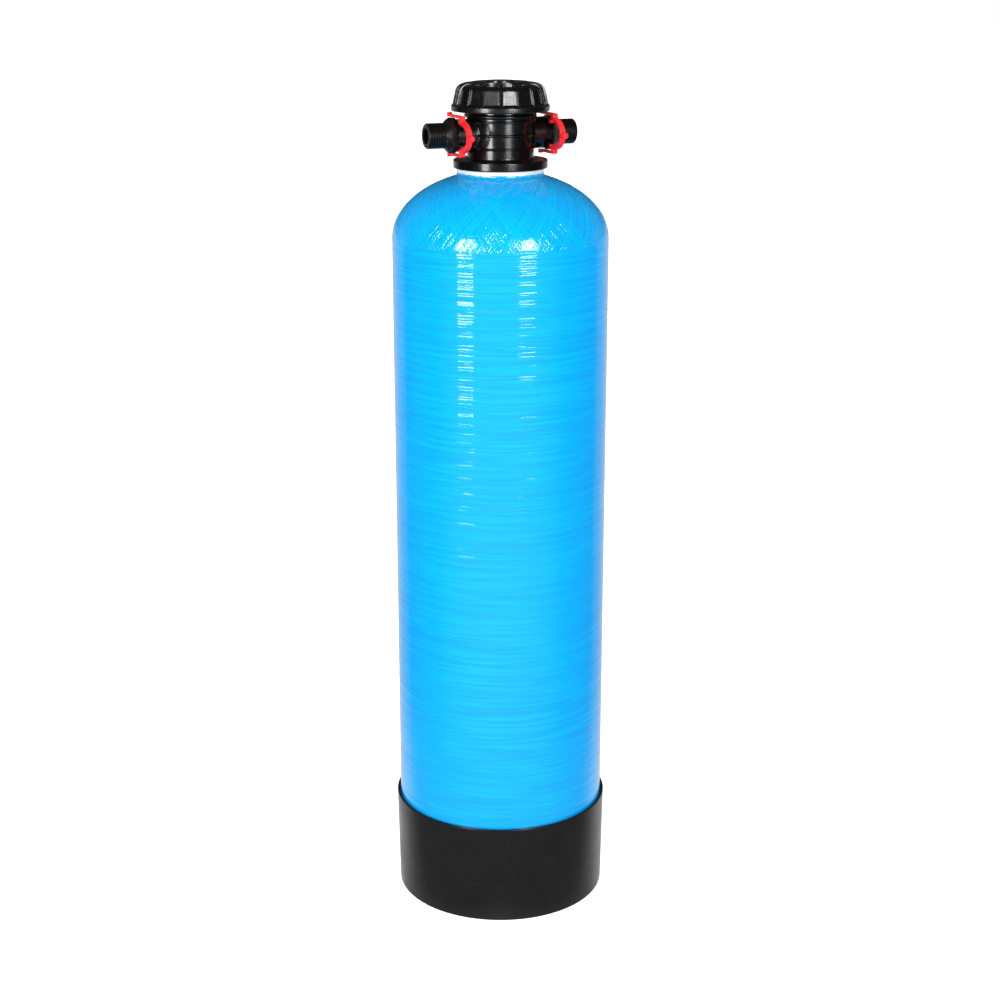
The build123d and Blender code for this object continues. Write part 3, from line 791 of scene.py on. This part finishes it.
@dataclass
class PortFitting:
    """One side port's adapter with its cut pipe thread, its seals and its clip."""

    side: Side
    axis_z: float = 0.8572
    tip: float = 0.0836
    run_out: float = 0.0648
    crest_radius: float = 0.01322
    pitch: float = 0.001814
    depth: float = 0.00105
    half_width: float = 0.00072
    clearance: float = 0.0004
    steps: int = 56
    crease: float = 32.0

    def build_cutter(self) -> bpy.types.Object:
        """Model the helical groove that the thread tool cuts, along the port."""
        turns = math.ceil((self.tip - self.run_out) / self.pitch) + 1
        start = Vector((self.run_out, 0, self.crest_radius - self.depth))
        cutter = Workshop.start_point(f"{self.side.word}_thread_groove", start)
        steps = ((self.half_width, self.depth), (0, self.clearance), (-2 * self.half_width, 0),
                 (0, -self.clearance), (self.half_width, -self.depth))
        for along, out in steps:
            move = Vector((along, 0, out))
            bpy.ops.mesh.extrude_region_move(TRANSFORM_OT_translate={"value": move})
        bpy.ops.mesh.select_all(action="SELECT")
        bpy.ops.mesh.remove_doubles(threshold=WELD)
        bpy.ops.object.mode_set(mode="OBJECT")
        screw = cutter.modifiers.new("helix", "SCREW")
        screw.axis = "X"
        screw.angle = FULL_TURN
        screw.screw_offset = self.pitch
        screw.iterations = turns
        screw.steps = self.steps
        screw.render_steps = self.steps
        Workshop.apply(cutter, screw)
        bpy.ops.object.mode_set(mode="EDIT")
        bpy.ops.mesh.select_all(action="SELECT")
        bpy.ops.mesh.remove_doubles(threshold=WELD)
        bpy.ops.mesh.select_all(action="DESELECT")
        bpy.ops.mesh.select_non_manifold(extend=False)
        bpy.ops.mesh.fill_holes(sides=0)
        bpy.ops.mesh.select_all(action="SELECT")
        bpy.ops.mesh.normals_make_consistent(inside=False)
        bpy.ops.object.mode_set(mode="OBJECT")
        turn = Matrix.Rotation(0 if self.side is Side.OUTLET else math.pi, 4, "Z")
        cutter.data.transform(Matrix.Translation((0, 0, self.axis_z)) @ turn)
        return cutter

    def build_adapter(self) -> bpy.types.Object:
        """Cut the thread into a copy of the adapter."""
        word = self.side.word
        adapter = Workshop.copy_node(f"{word}_adapter", f"{word}_threaded_adapter")
        cutter = self.build_cutter()
        cut = adapter.modifiers.new("thread", "BOOLEAN")
        cut.operation = "DIFFERENCE"
        cut.solver = "EXACT"
        cut.object = cutter
        Workshop.apply(adapter, cut)
        bpy.data.objects.remove(cutter)
        Workshop.smooth(adapter, self.crease)
        return adapter

    def build(self, finishes: Finishes) -> None:
        """Model and dress the port.

        Args:
            finishes: The materials.
        """
        word = self.side.word
        node = f"{word}_adapter"
        seat(self.build_adapter(), node, node, finishes.adapter)
        for place in ("inner", "outer"):
            dress(f"{word}_o_ring_{place}", finishes.rubber)
        dress(f"{word}_clip", finishes.clip)


@dataclass
class HeadAndCap:
    """The head body, the screw cap with its flat panels and the plug that it carries.

    Each point of the cap's section is a radius and a height, in metres.
    """

    rib_count: int = 16
    rib_phase: float = math.radians(0.9)
    foot: tuple = (0.0503, 0.8882)
    panel_base: tuple = (0.0469, 0.8895)
    panel_top: tuple = (0.0439, 0.9020)
    shoulder: float = 0.0055
    crest_top: tuple = (0.0470, 0.9031)
    least_rib: float = 0.1 * MM
    upright: float = 0.22 * MM
    crease: float = 30.0

    def panel_radius(self, height: float) -> float:
        """Distance from the axis to the surface between two ribs, at a height."""
        if height < self.panel_base[1]:
            share = (height - self.foot[1]) / (self.panel_base[1] - self.foot[1])
            return self.foot[0] + (self.panel_base[0] - self.foot[0]) * share
        if height < self.panel_top[1]:
            share = (height - self.panel_base[1]) / (self.panel_top[1] - self.panel_base[1])
            return self.panel_base[0] + (self.panel_top[0] - self.panel_base[0]) * share
        rise = min(1.0, (height - self.panel_top[1]) / self.shoulder)
        return self.panel_top[0] - self.shoulder * (1 - math.sqrt(1 - rise * rise))

    def crest_radius(self, height: float) -> float:
        """Distance from the axis to the crest of a rib, at a height."""
        share = (height - self.foot[1]) / (self.crest_top[1] - self.foot[1])
        return self.foot[0] + (self.crest_top[0] - self.foot[0]) * share

    def flatten(self, radius: float, theta: float, height: float) -> float:
        """How far a vertex of the cap moves out to make the panel that it is on flat.

        Args:
            radius: Distance from the axis.
            theta: Angle round the axis.
            height: Height above the floor.

        Returns:
            The way out, in metres: none on the rib crests, the foot and the top.
        """
        low, high = self.foot[1], self.panel_top[1] + self.shoulder
        if not low < height < high:
            return 0.0
        step = FULL_TURN / self.rib_count
        aside = (theta - self.rib_phase) % step - step / 2
        surface, crest = self.panel_radius(height), self.crest_radius(height)
        share = (radius - surface) / max(crest - surface, self.least_rib)
        share = min(1.0, max(0.0, share))
        fade = min(1.0, (height - low) / (self.panel_base[1] - low),
                   (high - height) / self.shoulder)
        middle = (self.panel_base[1] + self.panel_top[1]) / 2
        along = (height - middle) / (self.panel_top[1] - middle)
        tilt = self.upright * min(1.0, max(-1.0, along))
        return fade * (1 - share) * (radius / math.cos(aside) - radius + tilt)

    def build_cap(self) -> bpy.types.Object:
        """Model the cap with flat panels between its ribs."""
        cap = Workshop.copy_node("screw_cap", "ribbed_cap")
        inner, outer = self.panel_top[0] - self.shoulder, self.foot[0] + self.least_rib
        for vertex in cap.data.vertices:
            x, y, z = vertex.co
            radius = math.hypot(x, y)
            if not inner <= radius <= outer:
                continue
            scale = 1 + self.flatten(radius, math.atan2(y, x), z) / radius
            vertex.co.x *= scale
            vertex.co.y *= scale
        Workshop.smooth(cap, self.crease)
        return cap

    def build(self, finishes: Finishes) -> None:
        """Dress the head, cap and seals.

        Args:
            finishes: The materials.
        """
        dress("head_body", finishes.head)
        seat(self.build_cap(), "screw_cap", "screw_cap", finishes.cap)
        dress("cap_plug", finishes.head)
        for node in ("neck_o_ring", "riser_o_ring", "cap_o_ring"):
            dress(node, finishes.rubber)


@dataclass
class Studio:
    """Camera at the photograph's viewing angle, pale floor, two tall soft lights and the world.

    A lamp is its angle from the camera in degrees, its lowest and its highest point. A run or an
    edge is where a change of brightness starts and ends, and its levels are the brightness there.
    """

    azimuth: float = math.radians(22.5)
    distance: float = 1.956
    height: float = 1.029
    pitch: float = 0.2848
    swing: float = 0.00025
    focal_pixels: float = 1834.0
    frame_pixels: float = 1000.0
    sensor: float = 36.0
    far_clip: float = 100.0
    floor_size: float = 30.0
    floor_gray: tuple = color(0.80, 0.80, 0.80)
    floor_dark: tuple = color(0.02, 0.02, 0.02)
    light_distance: float = 2.2
    light_width: float = 0.63
    lamps: tuple = ((-36.0, 0.54, 1.62), (28.0, 0.70, 1.68))
    radiances: tuple = (14.0, 13.5)
    back_lamps: tuple = ((-140.0, 0.30, 1.70), (140.0, 0.30, 1.70))
    back_width: float = 1.2
    back_radiance: float = 3.0
    fill_run: tuple = (-0.1, 1.0)
    fill_levels: tuple = (0.05, 1.15)
    glow_run: tuple = (0.35, 0.95)
    front_glow: float = 0.26
    glow_reach: tuple = (3.5, 8.0)
    far_glow: float = 0.22
    floor_glow: float = 0.80
    least_reach: float = 0.01
    sheet_slope: float = 0.6587
    sheet_start: float = 0.1217
    sheet_edge: tuple = (-0.02, 0.02)
    sheet_run: tuple = (-0.65, -0.05)
    sheet_levels: tuple = (0.56, 0.17)
    wall_edge: tuple = (-0.57, -0.53)
    wall_run: tuple = (-0.95, -0.56)
    wall_levels: tuple = (0.04, 0.20)
    room_run: tuple = (0.10, 0.60)
    room_top: float = 0.15
    near_run: tuple = (-0.15, 0.32)
    near_levels: tuple = (0.74, 0.15)
    near_far: tuple = (0.25, 0.70)
    white: tuple = color(1.0, 1.0, 1.0)

    def toward_camera(self, degrees: float) -> Vector:
        """Unit vector from the vessel axis, turned to the camera's right by an angle."""
        ahead = Vector((-math.sin(self.azimuth), -math.cos(self.azimuth), 0))
        right = Vector((math.cos(self.azimuth), -math.sin(self.azimuth), 0))
        turn = math.radians(degrees)
        return ahead * math.cos(turn) + right * math.sin(turn)

    def build_camera(self) -> None:
        """Place the camera found from the vessel's outline in the photograph."""
        data = bpy.data.cameras.new("camera")
        data.sensor_width = self.sensor
        data.lens = self.focal_pixels / self.frame_pixels * self.sensor
        data.clip_end = self.far_clip
        camera = bpy.data.objects.new("camera", data)
        camera.location = self.toward_camera(0) * self.distance + Vector((0, 0, self.height))
        camera.rotation_euler = Euler((math.pi / 2 - self.pitch, 0, self.swing - self.azimuth))
        bpy.context.scene.collection.objects.link(camera)
        bpy.context.scene.camera = camera

    def hang_lamp(self, name: str, place: tuple[float, float, float], width: float,
                  radiance: float) -> bpy.types.Object:
        """Hang one tall soft light that faces the vessel axis.

        Args:
            name: Name of the light.
            place: Its angle from the camera in degrees, and its lowest and highest point.
            width: Its width.
            radiance: How bright its face is, where 1 is white.

        Returns:
            The light.
        """
        degrees, low, high = place
        data = bpy.data.lights.new(name, "AREA")
        data.shape = "RECTANGLE"
        data.size = width
        data.size_y = high - low
        data.energy = radiance * math.pi * width * (high - low)
        lamp = bpy.data.objects.new(name, data)
        away = self.toward_camera(degrees)
        lamp.location = away * self.light_distance + Vector((0, 0, (low + high) / 2))
        lamp.rotation_euler = away.to_track_quat("Z", "Y").to_euler()
        bpy.context.scene.collection.objects.link(lamp)
        return lamp

    def build_lamps(self) -> None:
        """Hang the two lights of the photograph's highlights, and two that only fill the back."""
        for index, (place, radiance) in enumerate(zip(self.lamps, self.radiances)):
            self.hang_lamp(f"soft_light_{index}", place, self.light_width, radiance)
        for index, place in enumerate(self.back_lamps):
            lamp = self.hang_lamp(f"back_light_{index}", place, self.back_width, self.back_radiance)
            lamp.visible_camera = False
            lamp.visible_glossy = False

    def floor_sheen(self, graph: NodeGraph) -> bpy.types.NodeSocket:
        """How bright reflections see the floor: a white sheet behind, a soft glow in front.

        Args:
            graph: The floor's graph.

        Returns:
            The brightness.
        """
        x, y, _ = graph.split(graph.place)
        along, across = (graph.math("ADD", graph.math("MULTIPLY", x, axis.x),
                                    graph.math("MULTIPLY", y, axis.y))
                         for axis in (self.toward_camera(0), self.toward_camera(90)))
        reach = graph.math("MAXIMUM", graph.length(x, y), self.least_reach)
        aside = graph.math("MULTIPLY", graph.math("ABSOLUTE", across), self.sheet_slope)
        inside = graph.math("SUBTRACT", graph.math("ADD", along, aside), self.sheet_start)
        inside = graph.math("DIVIDE", inside, reach)
        sheet = graph.math("MULTIPLY", graph.between(inside, *self.sheet_edge, 1.0, 0.0),
                           graph.between(inside, *self.sheet_run, *self.sheet_levels))
        glow = graph.between(graph.math("DIVIDE", along, reach), *self.glow_run,
                             0.0, self.front_glow)
        glow = graph.math("MULTIPLY", glow,
                          graph.between(reach, *self.glow_reach, 1.0, self.far_glow))
        near = graph.between(inside, *self.near_run, *self.near_levels)
        return graph.pass_over(graph.between(reach, *self.near_far), near,
                               graph.math("MAXIMUM", sheet, glow))

    def build_floor(self) -> None:
        """Lay the pale floor, white to the camera where nothing shades it."""
        Workshop.clear_selection()
        bpy.ops.mesh.primitive_plane_add(size=self.floor_size)
        floor = bpy.context.object
        floor.name = "floor"
        graph = NodeGraph("floor_white")
        paths = graph.add("ShaderNodeLightPath").outputs
        seen = graph.math("MAXIMUM", paths["Is Camera Ray"], paths["Is Transmission Ray"])
        seen = graph.math("MULTIPLY", seen, self.floor_glow)
        glossy = paths["Is Glossy Ray"]
        sheen = graph.math("MULTIPLY", glossy, self.floor_sheen(graph))
        graph.set(Base_Color=graph.blend(glossy, self.floor_gray, self.floor_dark),
                  Roughness=0.9, Specular_IOR_Level=0.0, Emission_Color=self.white,
                  Emission_Strength=graph.math("MAXIMUM", seen, sheen))
        floor.data.materials.append(graph.material)

    @staticmethod
    def measure(tree: bpy.types.NodeTree, axis: Vector, run: tuple[float, float],
                levels: tuple[float, float]) -> bpy.types.NodeSocket:
        """World brightness that changes as the direction turns along an axis.

        Args:
            tree: The world's node tree.
            axis: The axis.
            run: Share of the direction along the axis at the start and at the end.
            levels: Brightness at the start and at the end.

        Returns:
            The brightness.
        """
        along = tree.nodes.new("ShaderNodeVectorMath")
        along.operation = "DOT_PRODUCT"
        along.inputs[1].default_value = axis
        tree.links.new(tree.nodes["direction"].outputs["Generated"], along.inputs[0])
        change = tree.nodes.new("ShaderNodeMapRange")
        tree.links.new(along.outputs["Value"], change.inputs["Value"])
        set_range(change, run, levels)
        return change.outputs[0]

    @staticmethod
    def combine(tree: bpy.types.NodeTree, operation: str, first: bpy.types.NodeSocket,
                second: bpy.types.NodeSocket) -> bpy.types.NodeSocket:
        """Work out one Math node of the world.

        Args:
            tree: The world's node tree.
            operation: Name of the operation.
            first: First input.
            second: Second input.

        Returns:
            The result.
        """
        node = tree.nodes.new("ShaderNodeMath")
        node.operation = operation
        tree.links.new(first, node.inputs[0])
        tree.links.new(second, node.inputs[1])
        return node.outputs[0]

    def build_world(self) -> None:
        """Surround the part: white to the camera, a dim room to reflections, a soft fill."""
        world = bpy.data.worlds.new("studio_world")
        bpy.context.scene.world = world
        world.use_nodes = True
        tree = world.node_tree
        tree.nodes.clear()
        paths = tree.nodes.new("ShaderNodeLightPath").outputs
        tree.nodes.new("ShaderNodeTexCoord").name = "direction"
        front, up = self.toward_camera(0), Vector((0, 0, 1))
        glow = self.measure(tree, front, self.glow_run, (0.0, self.front_glow * self.far_glow))
        wall = self.combine(tree, "MULTIPLY", self.measure(tree, front, self.wall_edge, (1.0, 0.0)),
                            self.measure(tree, front, self.wall_run, self.wall_levels))
        room = self.combine(tree, "MULTIPLY", self.combine(tree, "MAXIMUM", wall, glow),
                            self.measure(tree, up, self.room_run, (1.0, self.room_top)))
        fill = self.measure(tree, up, self.fill_run, self.fill_levels)
        seen = self.combine(tree, "MAXIMUM", paths["Is Camera Ray"], paths["Is Transmission Ray"])
        glossy = tree.nodes.new("ShaderNodeMix")
        for source, target in ((paths["Is Glossy Ray"], 0), (fill, 2), (room, 3)):
            tree.links.new(source, glossy.inputs[target])
        strength = tree.nodes.new("ShaderNodeMix")
        tree.links.new(seen, strength.inputs[0])
        tree.links.new(glossy.outputs[0], strength.inputs[2])
        strength.inputs[3].default_value = 1.0
        background = tree.nodes.new("ShaderNodeBackground")
        background.inputs["Color"].default_value = self.white
        tree.links.new(strength.outputs[0], background.inputs["Strength"])
        output = tree.nodes.new("ShaderNodeOutputWorld")
        tree.links.new(background.outputs[0], output.inputs[0])

    def build(self) -> None:
        """Set up the whole studio."""
        bpy.context.scene.view_settings.view_transform = "Standard"
        self.build_camera()
        self.build_lamps()
        self.build_floor()
        self.build_world()


def main() -> None:
    """Build every sub-assembly in order."""
    logging.basicConfig(level=logging.INFO)
    finishes = Finishes()
    WoundVessel().build(finishes)
    HeadAndCap().build(finishes)
    for side in Side:
        PortFitting(side).build(finishes)
    Studio().build()


if __name__ == "__main__":
    main()
